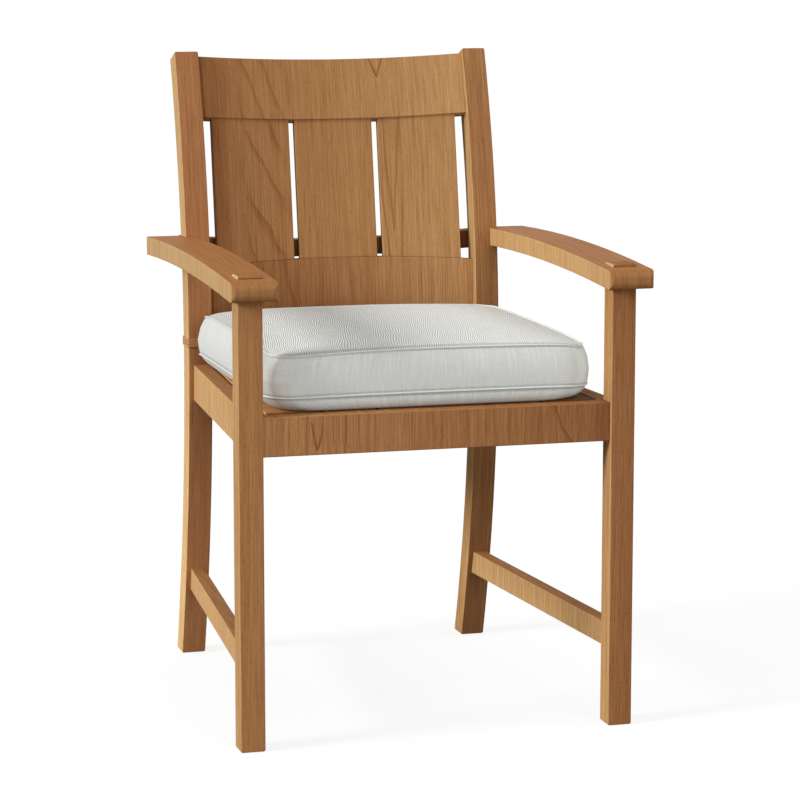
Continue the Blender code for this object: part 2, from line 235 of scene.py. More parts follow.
def layFloor(look):
    form = bmesh.new()
    bmesh.ops.create_grid(form, x_segments=1, y_segments=1, size=look["floorReach"])
    bmesh.ops.translate(form, verts=form.verts, vec=(0, 0, -look["floorDrop"]))
    floor = addObject("floor", toMesh(form, "floor"))
    material, wire, _ = newFinish("paleFloor")
    wire.tree.nodes.clear()
    bounce = wire.put("BsdfDiffuse", {"Color": grey(look["floorBounce"])})
    shade = wire.put("BsdfDiffuse", {"Color": grey(look["floorShade"])})
    glow = wire.put("Emission", {"Color": grey(1), "Strength": look["floorGlow"]})
    shown = wire.put("AddShader", {0: shade.outputs[0], 1: glow.outputs[0]})
    wire.put("OutputMaterial", {"Surface": seenApart(wire, bounce, shown)})
    floor.data.materials.append(material)


for lampName, lampFacts in studio["lamps"].items():
    hangLamp(lampName, *lampFacts)
lightRoom(studio)
layFloor(studio)
print("studio lit")


# oiled teak: upright grain on every standing face, as the photograph has it, and lengthwise on level ones
teakLook = {
    "pale": (0.520, 0.262, 0.108),
    "plain": (0.472, 0.222, 0.088),
    "red": (0.440, 0.188, 0.071),
    "lineDark": (0.62, 0.46, 0.36),
    "streakDark": (0.76, 0.68, 0.61),
    "hairDark": (0.70, 0.61, 0.54),
    "poreDark": (0.62, 0.52, 0.46),
    # painted shade for the deck's front, the ledge over the lower rail and the cross rail's front
    "jointShade": (0.30, 0.24, 0.20),
    "armTop": (0.95, 0.885, 0.74),
    # painted shade at the foot of the tenon's front, softer on the right leg, the tone of the tenon's top, and
    # a painted highlight on its outer face
    "tenonShade": (0.50, 0.42, 0.37),
    "tenonShadeSoft": (0.72, 0.66, 0.62),
    "tenonTop": (0.87, 0.86, 0.84),
    "tenonHighlight": (1.60, 2.10, 2.45),
    # width and length of each layer's cells, how deep it shows, and between which levels it comes in
    "bandCell": (0.012, 0.60),
    "bandDetail": (2.0, 0.55),
    "fineCell": (0.0048, 0.36),
    "swayCell": (0.045, 0.10),
    "streakCell": (0.0026, 0.17),
    "streakDepth": 0.60,
    "hairCell": (0.0015, 0.058),
    "hairDepth": 0.75,
    "poreCell": (0.0012, 0.008),
    "poreDepth": 0.55,
    "rampHalf": 0.18,
    "lineBand": (0.40, 0.68),
    "poreBand": (0.58, 0.72),
    # which faces count as level, as sides and as fronts, and how far apart sides lie in the grain
    "levelFrom": 0.6,
    "sideFrom": 0.6,
    "sideBand": (0.6, 0.9),
    "sideShift": 0.37,
    "frontFrom": 0.5,
    "shadeFade": 0.03,
    "gloss": 0.01,
    "armGloss": 0.06,
    "roughBand": (0.3, 0.75, 0.50, 0.62),
    "hairRelief": 0.4,
    "poreRelief": 0.5,
    "relief": 0.30,
    "reliefDeep": 0.0004,
}
# tone of each kind of piece, the tone of its side faces over that, and how strongly its streaks show; the side
# tone is painted light that makes the side faces paler and yellower, as the key light from the side shows them
teakTones = {
    "post": ((0.875, 0.836, 0.885), (1.58, 2.31, 2.58), 0.65),
    "postRight": ((0.865, 0.885, 0.91), (1.32, 1.76, 1.92), 0.85),
    "leg": ((0.98, 1.00, 1.00), (1.22, 1.50, 1.64), 0.65),
    "legRight": ((0.83, 0.785, 0.79), (1.34, 1.66, 1.74), 0.80),
    "arm": ((0.84, 0.84, 0.80), (1.46, 1.92, 2.24), 0.6),
    "frontRail": ((0.985, 1.00, 1.00), (1.20, 1.50, 1.70), 1.0),
    "rail": ((0.97, 0.98, 0.98), (1.50, 1.93, 2.14), 0.8),
    "slat": ((0.91, 0.945, 0.945), (1.20, 1.50, 1.70), 0.75),
    "back": ((0.92, 0.955, 0.955), (1.20, 1.50, 1.70), 0.75),
    "low": ((0.88, 0.88, 0.885), (1.20, 1.50, 1.70), 0.9),
    "cross": ((1.00, 1.00, 1.00), (1.20, 1.50, 1.70), 0.8),
    "deck": ((0.96, 0.97, 0.96), (1.20, 1.50, 1.70), 0.8),
}
# growth figures: axis, middle and half width of where it shows, spacing across (minus points it up), spacing
# down, depth, the height of one tip, and how soft the soft side is
teakFigures = {
    "slat": ((0.0865, 0.0840, 0.022, 0.0115, 0.165, 0.65, 0.602, 0.0045),
             (-0.148, -0.108, 0.032, -0.0425, 0.085, 0.60, 0.730, 0.012)),
    "back": ((0.0715, 0.0715, 0.014, 0.0600, 0.200, 0.95, 0.850, 0.006),
             (-0.155, -0.110, 0.040, -0.0300, 0.092, 0.50, 0.860, 0.010)),
    "low": ((-0.155, -0.105, 0.052, -0.0290, 0.086, 0.40, 0.540, 0.010),),
    "frontRail": ((-0.1675, -0.1675, 0.010, 0.0555, 0.180, 1.0, 0.406, 0.005),
                  (-0.242, -0.165, 0.060, 0.0520, 2.0, 0.70, 0.0, 0.004),
                  (0.130, 0.178, 0.032, -0.0600, 0.170, 0.65, 0.386, 0.007)),
    "arm": ((0.0, 0.0, 0.4, -0.0090, 0.16, 0.22, 0.0, 0.0042),),
}
# how round a figure's tip is, how far its lines wander, where a line is darkest and ends, and where it fades
figureMake = {
    "tipShare": 0.2,
    "tipMost": 0.0015,
    "wander": 0.072,
    "wanderLeast": 0.12,
    "darkest": 0.0008,
    "ends": 0.0005,
    "fadeFrom": 0.6,
}
# how a piece changes in tone along itself, mostly painted light and shade: the back pieces get the left post's
# shadow painted at their left end and a painted light spot at their right, over some change in the wood's
# colour;
# the front rail is painted paler at its left and shaded by the right leg at its right; the left rear leg is
# painted lighter towards the floor and the right one darker under the seat; the deck is painted lit at its left
# and shaded under the cushion at its right. Axis, start, end, the tone at the start, tones between with their
# places, and the tone at the end
paintedLightDrifts = {
    "slat": (0, -0.210, 0.195, (0.50, 0.39, 0.38), (0.045, 0.58, 0.46, 0.46), (0.13, 0.96, 0.95, 0.94),
             (0.50, 1.0, 1.02, 1.03), (1.14, 1.32, 1.38)),
    "back": (0, -0.215, 0.195, (0.46, 0.37, 0.33), (0.040, 0.48, 0.39, 0.35), (0.052, 0.83, 0.74, 0.71),
             (0.22, 0.94, 0.93, 0.92), (0.50, 1.0, 1.04, 1.05), (1.20, 1.40, 1.52)),
    "low": (0, -0.215, 0.195, (0.46, 0.37, 0.33), (0.042, 0.48, 0.39, 0.35), (0.054, 0.80, 0.74, 0.72),
            (0.22, 0.89, 0.88, 0.87), (0.50, 0.94, 0.95, 0.95), (1.22, 1.42, 1.56)),
    "frontRail": (0, -0.240, 0.240, (1.16, 1.21, 1.25), (0.50, 0.96, 0.96, 0.98), (0.94, 0.82, 0.78, 0.78),
                  (0.54, 0.48, 0.46)),
    "post": (2, 0.250, 0.650, (1.30, 1.30, 1.30), (0.50, 1.16, 1.16, 1.16), (1.0, 1.0, 1.0)),
    "postRight": (2, 0.250, 0.650, (0.80, 0.80, 0.80), (0.50, 0.90, 0.90, 0.90), (1.0, 1.0, 1.0)),
    "deck": (0, -0.230, 0.230, (1.34, 1.42, 1.48), (0.09, 1.16, 1.19, 1.20), (0.50, 1.0, 1.0, 1.0),
             (0.87, 0.88, 0.85, 0.83), (0.36, 0.28, 0.22)),
}
# inner side faces under the seat are painted paler, painted light where the seat's shadow falls: from, up to,
# and the tone there
underSeatLight = {
    "postRight": (-0.1, 0.45, (1.66, 1.48, 1.36)),
    "legRight": (-0.1, 0.42, (1.24, 1.30, 1.34)),
}
# painted shade in the joints round the tenons, with a painted highlight on the tenon's outer face, over the
# lower rail and along the front of the deck, and on the cross rail's front, which lies in shade behind the
# slats
tenonJoint = {"low": 0.620, "high": 0.6331, "outerFrom": -0.5, "leg": "tenonShade", "legRight": "tenonShadeSoft"}
ledgeShade = {"low": 0.55, "high": 0.60, "topFrom": 0.5}
deckFrontShade = {"clear": -0.2505, "dark": -0.2600, "share": 0.75}
crossFrontShade = {"clear": -0.4, "dark": -0.8}
teakPieces = {
    "post": ("rear_leg_left",),
    "postRight": ("rear_leg_right",),
    "leg": ("front_leg_left",),
    "legRight": ("front_leg_right",),
    "arm": ("armrest_left", "armrest_right"),
    "frontRail": ("front_seat_rail",),
    "rail": (
        "rear_seat_rail", "side_seat_rail_left", "side_seat_rail_right",
        "side_stretcher_left", "side_stretcher_right",
    ),
    "slat": ("back_slat_left", "back_slat_centre", "back_slat_right"),
    "back": ("top_rail",),
    "low": ("lower_back_rail",),
    "cross": ("arm_cross_rail",),
    "deck": tuple(f"seat_slat_{n}" for n in range(1, 7)) + ("seat_cleat_front", "seat_cleat_rear"),
}


def figureLines(wire, along, sway, figure, make):
    # nested Vs, each line with a sharp side and a soft one
    axis, middle, half, across, down, depth, tip, soft = figure
    parts = wire.split(along)
    side = wire.calc("SUBTRACT", parts[0], axis)
    tipRound = min(make["tipShare"] * abs(across), make["tipMost"])
    spread = wire.calc("SQRT", wire.calc("MULTIPLY_ADD", side, side, tipRound ** 2))
    swing = max(make["wander"] / down, make["wanderLeast"])
    drift = wire.calc("MULTIPLY_ADD", sway, swing, tip / down - swing / 2)
    climb = wire.calc("MULTIPLY_ADD", parts[2], -1 / down, drift)
    rings = wire.calc("FRACT", wire.calc("MULTIPLY_ADD", spread, 1 / across, climb))
    if across < 0:
        rings = wire.calc("SUBTRACT", 1.0, rings)
    unit = 1 / abs(across)
    rises = wire.band(rings, 1 - soft * unit, 1 - make["darkest"] * unit)
    falls = wire.band(rings, 1.0, 1 - make["ends"] * unit)
    within = wire.band(wire.away(parts[0], middle), half, make["fadeFrom"] * half, 0.0, depth)
    return wire.times(wire.times(rises, falls), within)


def paintedDriftColour(wire, parts, drift):
    axis, start, end, first, *between, last = drift
    reach = wire.put("MapRange", {"Value": parts[axis], 1: start, 2: end}).outputs[0]
    ramp = wire.put("ValToRGB", {0: reach})
    stops = ramp.color_ramp.elements
    stops[0].color, stops[1].color = paint(first), paint(last)
    for spot, *tone in between:
        stops.new(spot).color = paint(tone)
    return ramp.outputs[0]


def paintedJointShading(wire, colour, kind, look, parts, facing, level):
    # painted shade in the joints, and the tenon that stands through the arm, with a painted highlight on its
    # outer face
    def above(joint):
        return wire.calc("GREATER_THAN", parts[2], joint["low"])

    def inside(joint):
        return wire.times(above(joint), wire.calc("LESS_THAN", parts[2], joint["high"]))

    if kind in ("leg", "legRight"):
        standing = above(tenonJoint)
        outer = wire.times(standing, wire.calc("LESS_THAN", facing[0], tenonJoint["outerFrom"]))
        front = wire.calc("GREATER_THAN", facing[0], tenonJoint["outerFrom"])
        colour = wire.toned(wire.times(standing, level), colour, look["tenonTop"])
        # painted highlight on the tenon's outer face
        colour = wire.toned(outer, colour, look["tenonHighlight"])
        # painted shade where the tenon leaves the arm
        return wire.toned(wire.times(inside(tenonJoint), front), colour, look[tenonJoint[kind]])
    if kind == "deck":
        # painted shadow along the front of the deck, by the front rail
        dark = wire.band(parts[1], deckFrontShade["clear"], deckFrontShade["dark"], 0.0, deckFrontShade["share"])
    elif kind == "low":
        # painted shade on the ledge under the slats
        dark = wire.times(inside(ledgeShade), wire.calc("GREATER_THAN", facing[2], ledgeShade["topFrom"]))
    elif kind == "cross":
        # painted shade on the cross rail's front, behind the slats
        dark = wire.band(facing[1], crossFrontShade["clear"], crossFrontShade["dark"])
    else:
        return colour
    return wire.toned(dark, colour, look["jointShade"])


def teakFinish(name, kind, look):
    tone, sidePaintedLight, grain = teakTones[kind]
    material, wire, shader = newFinish(name)
    parts = wire.split(wire.spot())
    facing = wire.facing()

    def faces(axis, least):
        return wire.calc("GREATER_THAN", wire.calc("ABSOLUTE", facing[axis]), least)

    level = faces(2, look["levelFrom"])
    aside = faces(0, look["sideFrom"])
    # across the grain and along it on each face, so a raked or arched face keeps its lines whole
    along = wire.put("CombineXYZ", {
        0: wire.either(aside, parts[0], parts[1]),
        1: wire.times(aside, look["sideShift"]),
        2: wire.either(level, parts[2], parts[1]),
    }).outputs[0]

    def layer(part, *detail):
        width, length = look[part + "Cell"]
        return wire.noise(wire.stretch(along, (1 / width, 1 / width, 1 / length)), *detail)

    bands = layer("band", *look["bandDetail"])
    fine, sway, streaks, hairs = [layer(part) for part in ("fine", "sway", "streak", "hair")]
    pits = wire.band(layer("pore"), *look["poreBand"])

    ramp = wire.put("ValToRGB", {0: wire.calc("MULTIPLY_ADD", fine, 0.5, wire.times(bands, 0.5))})
    stops = ramp.color_ramp.elements
    rampHalf = look["rampHalf"] / grain
    stops[0].position, stops[0].color = 0.5 - rampHalf, paint(look["pale"], tone)
    stops[1].position, stops[1].color = 0.5 + rampHalf, paint(look["red"], tone)
    stops.new(0.5).color = paint(look["plain"], tone)
    colour = ramp.outputs[0]
    shown = level if kind == "arm" else faces(1, look["frontFrom"])
    for figure in teakFigures.get(kind, ()):
        share = wire.times(figureLines(wire, along, sway, figure, figureMake), shown)
        colour = wire.toned(share, colour, look["lineDark"])
    for lines, part in ((streaks, "streak"), (hairs, "hair")):
        share = wire.band(lines, *look["lineBand"], 0.0, grain * look[part + "Depth"])
        colour = wire.toned(share, colour, look[part + "Dark"])
    colour = wire.toned(wire.times(pits, look["poreDepth"]), colour, look["poreDark"])
    # painted light: the side faces are made paler and yellower, as the key light from the side shows them
    colour = wire.toned(wire.band(wire.calc("ABSOLUTE", facing[0]), *look["sideBand"]), colour, sidePaintedLight)
    # painted light on the inner side faces that lie in the seat's shadow
    if kind in underSeatLight:
        low, high, shade = underSeatLight[kind]
        fade = look["shadeFade"]
        over = wire.band(parts[2], low - fade, low + fade)
        under = wire.band(parts[2], high + fade, high - fade)
        inner = wire.band(facing[0], *(-limit for limit in look["sideBand"]))
        colour = wire.toned(wire.times(wire.times(over, under), inner), colour, shade)
    if kind == "arm":
        colour = wire.toned(level, colour, look["armTop"])
    if kind in paintedLightDrifts:
        # painted light and shade along the piece
        colour = wire.tint(1.0, colour, paintedDriftColour(wire, parts, paintedLightDrifts[kind]), "MULTIPLY")
    colour = paintedJointShading(wire, colour, kind, look, parts, facing, level)

    height = wire.calc("SUBTRACT", wire.times(hairs, -look["hairRelief"]), wire.times(pits, look["poreRelief"]))
    dull = wire.band(streaks, *look["roughBand"])
    gloss = look["armGloss" if kind == "arm" else "gloss"]
    coat(wire, shader, colour, height, {**look, "rough": dull, "gloss": gloss})
    return material


# the shading of the eased edges: how near points merge, from which angle an edge is sharp, and face weight
shadingMake = {"merge": 0.00002, "sharpFrom": 50, "faceWeight": 100}


def easedShading(make):
    # merges the loose triangles and shades across the eased edges, as a modifier
    group = bpy.data.node_groups.new("easedShading", "GeometryNodeTree")
    for way in ("INPUT", "OUTPUT"):
        group.interface.new_socket("Geometry", in_out=way, socket_type="NodeSocketGeometry")
    start = group.nodes.new("NodeGroupInput")
    end = group.nodes.new("NodeGroupOutput")
    merge = group.nodes.new("GeometryNodeMergeByDistance")
    merge.inputs["Distance"].default_value = make["merge"]
    smooth = group.nodes.new("GeometryNodeSetShadeSmooth")
    sharp = group.nodes.new("GeometryNodeSetShadeSmooth")
    sharp.domain = "EDGE"
    sharp.inputs["Shade Smooth"].default_value = False
    angle = group.nodes.new("GeometryNodeInputMeshEdgeAngle")
    steep = group.nodes.new("FunctionNodeCompare")
    steep.operation = "GREATER_THAN"
    steep.inputs[1].default_value = math.radians(make["sharpFrom"])
    for source, target in (
        (start.outputs[0], merge.inputs["Geometry"]),
        (merge.outputs[0], smooth.inputs["Geometry"]),
        (smooth.outputs[0], sharp.inputs["Geometry"]),
        (angle.outputs["Unsigned Angle"], steep.inputs[0]),
        (steep.outputs[0], sharp.inputs["Selection"]),
        (sharp.outputs[0], end.inputs[0]),
    ):
        group.links.new(source, target)
    return group


def finishTeak():
    shading = easedShading(shadingMake)
    for kind, names in teakPieces.items():
        finish = teakFinish("teak_" + kind, kind, teakLook)
        for name in names:
            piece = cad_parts[name]
            piece.data.materials.clear()
            piece.data.materials.append(finish)
            piece.modifiers.new("easedShading", "NODES").node_group = shading
            weighted = piece.modifiers.new("evenFaces", "WEIGHTED_NORMAL")
            weighted.keep_sharp = True
            weighted.weight = shadingMake["faceWeight"]


finishTeak()
print("teak finished")


# pale woven cover; a band has the levels between which it comes in, and some its least and most share
clothLook = {
    "panel": (0.890, 0.912, 0.884),
    "boxing": (0.790, 0.804, 0.772),
    "thread": 0.0016,
    "overBand": (0.15, 0.35),
    "weaveBand": (0.5, 0.0, 0.0, 0.10),
    "slubDark": (0.94, 0.94, 0.94),
    "slubPale": (1.11, 1.11, 1.11),
    "slubWidth": 0.0019,
    "slubLength": 0.050,
    "darkBand": (0.46, 0.32),
    "paleBand": (0.57, 0.70),
    "crossBand": (0.45, 0.75, 0.0, 0.8),
    "rib": 0.0031,
    "ribBow": 0.012,
    "ribDark": (0.50, 0.50, 0.495),
    "ribSway": 0.018,
    "swayCell": (0.05, 0.08),
    "ribLean": -0.281,
    "ribBand": (0.35, 0.95),
    "ribFade": (-0.02, 0.20),
    "ribRight": 0.55,
    # stitch lines with painted shade along the seams: along the sides and the front of the panel, under the top
    # seam, and at the lower one; below the lower seam a cool tint painted against the warm light bounced from
    # the wood
    "seamShade": (0.74, 0.74, 0.74),
    "panelStitch": (0.0026, 0.0190),
    "stitchFull": 0.7,
    "topStitch": (0.0030, 0.0016, 0.3),
    "lowStitch": (0.0042, 0.0022),
    "lowCounterBounce": (0.98, 1.04, 1.06),
    "baseCounterBounce": (0.975, 1.04, 1.07),
    "rough": 0.92,
    "gloss": 0.2,
    "sheen": 0.12,
    "sheenRough": 0.5,
    "slubRelief": 0.6,
    "relief": 0.35,
    "reliefDeep": 0.0004,
}
# painted light and shade where the boxing turns a front corner: painted shade on the left side behind the front
# leg, painted light at the left turn and on the front left corner, and paler, cooler painted light at the right
# end; the strip and its corner, where the tone starts, where it is full, and the tone
clothCornerLight = (
    ("leftSide", 0.100, 0.045, (0.74, 0.74, 0.74)),
    ("leftSide", 0.020, 0.004, (1.32, 1.32, 1.32)),
    ("frontLeft", 0.026, 0.004, (1.15, 1.15, 1.15)),
    ("frontRight", 0.034, 0.006, (1.13, 1.27, 1.35)),
    ("rightSide", 0.030, 0.015, (1.13, 1.27, 1.35)),
)
sideStep = 3  # how many half widths the side strips of the boxing lie apart from the front one in the weave


def swell(wire, value, pitch):
    return wire.calc("MULTIPLY_ADD", wire.wave(value, pitch), 0.5, 0.5)


def clothNoise(wire, flat, width, length):
    return wire.noise(wire.stretch(flat, (1 / width, 1 / length, 1)))


def panelColour(wire, colour, look, flat, across, along, halves):
    # ribs that bow from front to back and wander a little
    sway = clothNoise(wire, flat, *look["swayCell"])
    slant = wire.calc("MULTIPLY_ADD", along, look["ribLean"], across)
    bow = wire.times(wire.times(along, along), -look["ribBow"] / halves[1] ** 2)
    place = wire.calc("MULTIPLY_ADD", sway, look["ribSway"], wire.calc("ADD", slant, bow))
    share = wire.band(swell(wire, place, look["rib"]), *look["ribBand"])
    share = wire.times(share, wire.band(across, *look["ribFade"], 1.0, look["ribRight"]))
    colour = wire.toned(share, colour, look["ribDark"])
    # the stitch line beside the welt, with painted shade that runs wider at the front and back
    for value, half, width in zip((across, along), halves, look["panelStitch"]):
        inside = wire.calc("SUBTRACT", half, wire.calc("ABSOLUTE", value))
        share = wire.band(inside, width, look["stitchFull"] * width)
        colour = wire.toned(share, colour, look["seamShade"])
    return colour


def boxingColour(wire, colour, look, across, along, halves, seams):
    # dark stitch lines with painted shade at both seams, and below the lower one a cool tint painted against
    # the warm light bounced from the wood
    top, low = seams
    far, near, most = look["topStitch"]
    colour = wire.toned(wire.band(along, top - far, top - near, 0.0, most), colour, look["seamShade"])
    colour = wire.toned(wire.band(wire.away(along, low), *look["lowStitch"]), colour, look["seamShade"])
    colour = wire.toned(wire.calc("LESS_THAN", along, low), colour, look["lowCounterBounce"])
    colour = wire.toned(wire.band(along, low, -top), colour, look["baseCounterBounce"])
    halfX, halfY = halves
    corners = {
        "leftSide": sideStep * halfX - halfY,
        "frontLeft": -halfX,
        "frontRight": halfX,
        "rightSide": -sideStep * halfX - halfY,
    }
    # painted light and shade at the corners of the boxing
    for corner, far, near, tone in clothCornerLight:
        share = wire.band(wire.away(across, corners[corner]), far, near)
        colour = wire.toned(share, colour, tone)
    return colour


def clothFinish(name, look, ribbed, halves, seams=()):
    base = look["panel"] if ribbed else look["boxing"]
    material, wire, shader = newFinish(name)
    flat = wire.put("UVMap", uv_map="weave").outputs[0]
    parts = wire.split(flat)
    across, along = parts[0], parts[1]

    thread = look["thread"]
    checks = wire.times(swell(wire, across, 2 * thread), swell(wire, along, 2 * thread))
    over = wire.band(checks, *look["overBand"])
    warp = wire.times(swell(wire, across, thread), over)
    weft = wire.times(swell(wire, along, thread), wire.calc("SUBTRACT", 1.0, over))
    weave = wire.calc("ADD", warp, weft)
    slubs = clothNoise(wire, flat, look["slubWidth"], look["slubLength"])
    crossed = clothNoise(wire, flat, look["slubLength"], look["slubWidth"])

    colour = wire.tint(wire.band(slubs, *look["darkBand"]), paint(base), paint(base, look["slubDark"]))
    colour = wire.tint(wire.band(slubs, *look["paleBand"]), colour, paint(base, look["slubPale"]))
    colour = wire.toned(wire.band(crossed, *look["crossBand"]), colour, look["slubDark"])
    colour = wire.toned(wire.band(weave, *look["weaveBand"]), colour, look["ribDark"])
    if ribbed:
        colour = panelColour(wire, colour, look, flat, across, along, halves)
    else:
        colour = boxingColour(wire, colour, look, across, along, halves, seams)
    shader.inputs["Sheen Weight"].default_value = look["sheen"]
    shader.inputs["Sheen Roughness"].default_value = look["sheenRough"]
    coat(wire, shader, colour, wire.calc("ADD", weave, wire.times(slubs, look["slubRelief"])), look)
    return material


# the seat cushion: a sewn box cover, filled by a cloth simulation with its seams held
# rows of the boxing: row, height, inset at the sides, inset front and back, shift to one side, corner radius
cushionMake = {
    "cuts": (52, 52, 24),
    "edgeFrom": 0.999,
    "lowSeamRow": 7,
    "rows": ((0, 0.0003, 0.0252, 0.0178, 0.0013, 0.058), (2, 0.0034, 0.0208, 0.0120, 0.0013, 0.052),
             (4, 0.0090, 0.0150, 0.0080, 0.0010, 0.047), (6, 0.0168, 0.0098, 0.0060, 0.0000, 0.043),
             (7, 0.0215, 0.0088, 0.0066, -0.0006, 0.042), (8, 0.0262, 0.0070, 0.0056, -0.0006, 0.041),
             (14, 0.0440, 0.0052, 0.0052, -0.0010, 0.040), (20, 0.0625, 0.0082, 0.0060, -0.0002, 0.040),
             (24, 0.0750, 0.0126, 0.0080, 0.0004, 0.041), (25, 0.0796, 0.0156, 0.0096, 0.0002, 0.042)),
    "rearCorner": 0.60,
    # how far the top seam sags at each corner, left then right, each front then rear, and how sharply
    "seamSag": ((0.0066, 0.0080), (0.0052, 0.0024)),
    "sagPower": (((2, 2), (5, 5)), ((10, 3), (2, 2))),
    "lean": 0.0036,
    "startCrown": 0.0068,
    "crownPower": 8,
    "crownRight": 2,
    "topRise": 0.0058,
    "flatRight": 0.85,
    "flatPower": 4,
    "sideSwell": 0.0040,
    "leastPush": 1e-7,
    "frames": 20,
    "cloth": {
        "quality": 6,
        "tension_stiffness": 20,
        "compression_stiffness": 20,
        "shear_stiffness": 8,
        "bending_stiffness": 1,
        "use_pressure": True,
        "uniform_pressure_force": 4.0,
    },
    "fill": 0.8,
}


def topRow(make):
    return make["cuts"][2] + 1


def rowShape(rows, row):
    for first, last in zip(rows, rows[1:]):
        if row <= last[0]:
            share = (row - first[0]) / (last[0] - first[0])
            return [a + (b - a) * share for a, b in zip(first[1:], last[1:])]


def roundedPlace(across, along, halfX, halfY, radius):
    # a point of the unit square carried to a rectangle with round corners
    x, y = across * halfX, along * halfY
    overX, overY = abs(x) - (halfX - radius), abs(y) - (halfY - radius)
    if overX > 0 and overY > 0:
        u, v = overX / radius, overY / radius
        x = math.copysign(halfX - radius + radius * u * math.sqrt(1 - v * v / 2), x)
        y = math.copysign(halfY - radius + radius * v * math.sqrt(1 - u * u / 2), y)
    return x, y


def layWeave(form, weave, halfX, halfY, tall):
    # panels and boxing laid out flat for the weave, in metres
    for face in form.faces:
        level = abs(face.normal.z) > nearly
        face.material_index = 0 if level else 1
        face.smooth = True
        for loop in face.loops:
            spot = loop.vert.co
            if level:
                loop[weave].uv = (spot.x * halfX, spot.y * halfY)
            elif abs(face.normal.y) > nearly:
                loop[weave].uv = (spot.x * halfX, spot.z * tall / 2)
            else:
                loop[weave].uv = (spot.y * halfY - halfX * sideStep * face.normal.x, spot.z * tall / 2)


def sewCover(make, low, high):
    centre = (low + high) / 2
    halfX, halfY = (high.x - low.x) / 2, (high.y - low.y) / 2
    form = bmesh.new()
    bmesh.ops.create_cube(form, size=2)
    for axis, cuts in enumerate(make["cuts"]):
        run = [e for e in form.edges if abs((e.verts[0].co - e.verts[1].co).normalized()[axis]) > nearly]
        bmesh.ops.subdivide_edges(form, edges=run, cuts=cuts, use_grid_fill=True)
    form.normal_update()
    weave = form.loops.layers.uv.new("weave")
    rowLayer = form.verts.layers.int.new("row")
    crease = form.edges.layers.float.new("crease_edge")
    lastRow = topRow(make)
    tall = make["rows"][-1][1]
    layWeave(form, weave, halfX, halfY, tall)
    for vert in form.verts:
        across, along, up = vert.co
        row = round((up + 1) / 2 * lastRow)
        atEdge = max(abs(across), abs(along)) > make["edgeFrom"]
        vert[rowLayer] = row if atEdge else (-1 if row == 0 else lastRow + 1)
        height, sideInset, endInset, shift, corner = rowShape(make["rows"], row)
        corner *= make["rearCorner"] if along > 0 else 1
        x, y = roundedPlace(across, along, halfX - sideInset, halfY - endInset, corner)
        if row == lastRow and not atEdge:
            rise = 1 - max(abs(along), -across) ** make["crownPower"]
            height += make["startCrown"] * rise * (1 - max(across, 0) ** make["crownRight"])
        sag = make["seamSag"][across > 0][along > 0]
        for value, power in zip((across, along), make["sagPower"][across > 0][along > 0]):
            sag *= abs(value) ** power
        height -= (sag + make["lean"] * max(across, 0) ** 2) * height / tall
        vert.co = (centre.x + shift + x, centre.y + y, low.z + height)
    for edge in form.edges:
        if all(vert[rowLayer] == lastRow for vert in edge.verts):
            edge.smooth = False
            edge[crease] = 1.0
    return addObject("seat_cushion", toMesh(form, "seat_cushion"))


def pressOut(make, piece):
    # the panels swell between the held seams
    mesh = piece.data
    rows = [item.value for item in mesh.attributes["row"].data]
    lastRow = topRow(make)
    held = piece.vertex_groups.new(name="sewn")
    sewn = [i for i, row in enumerate(rows) if row < 1 or row in (make["lowSeamRow"], lastRow)]
    held.add(sewn, 1.0, "REPLACE")
    start = [vert.co.copy() for vert in mesh.vertices]
    cloth = piece.modifiers.new("filling", "CLOTH")
    for key, value in make["cloth"].items():
        setattr(cloth.settings, key, value)
    cloth.settings.effector_weights.gravity = 0
    cloth.settings.vertex_group_mass = held.name
    cloth.point_cache.frame_start = 1
    cloth.point_cache.frame_end = make["frames"]
    for step in range(1, make["frames"] + 1):
        scene.frame_set(step)
    swollen = piece.evaluated_get(bpy.context.evaluated_depsgraph_get())
    moved = [vert.co.copy() for vert in swollen.data.vertices]
    piece.modifiers.remove(cloth)
    scene.frame_set(1)
    most = 0.0
    farRight = max(spot.x for spot in start)
    for vert, first, last, row in zip(mesh.vertices, start, moved, rows):
        push = last - first
        most = max(most, push.length)
        limit = make["sideSwell"]
        if row > lastRow:
            flat = make["flatRight"] * max(first.x / farRight, 0) ** make["flatPower"]
            limit = make["topRise"] * (1 - flat)
        if push.length > make["leastPush"]:
            vert.co = first + push.normalized() * limit * math.tanh(push.length / limit)
    mesh.update()
    print("cushion filled, largest free push %.1f mm" % (most * 1000))


# welts on the two seams, and how far each stands out and up from its seam
weltMake = {"radius": 0.0013, "upper": (0.0007, 0.0003), "lower": (0.0012, 0.0), "sides": 3}
weltLook = {
    "pale": (0.90, 0.91, 0.90),
    "yarn": (700, 700, 900),
    "rough": 0.92,
    "gloss": 0.2,
    "relief": 0.3,
    "reliefDeep": 0.0004,
}
# detail and roughness of spun yarn, and the levels between which it goes from one colour to the other
yarnMake = {"detail": (2.0, 0.6), "band": (0.35, 0.65)}


def spunYarn(wire, cells, first, second):
    yarn = wire.noise(wire.stretch(wire.spot(), cells), *yarnMake["detail"])
    return yarn, wire.tint(wire.band(yarn, *yarnMake["band"]), first, second)


def seamLine(piece, row, out, up):
    rows = [item.value for item in piece.data.attributes["row"].data]
    spots = [vert.co.copy() for vert, own in zip(piece.data.vertices, rows) if own == row]
    centre = sum(spots, Vector()) / len(spots)
    spots.sort(key=lambda spot: math.atan2(spot.y - centre.y, spot.x - centre.x))
    line = []
    for index, spot in enumerate(spots):
        way = spots[(index + 1) % len(spots)] - spots[index - 1]
        line.append(spot + way.cross(Vector((0, 0, 1))).normalized() * out + Vector((0, 0, up)))
    return line


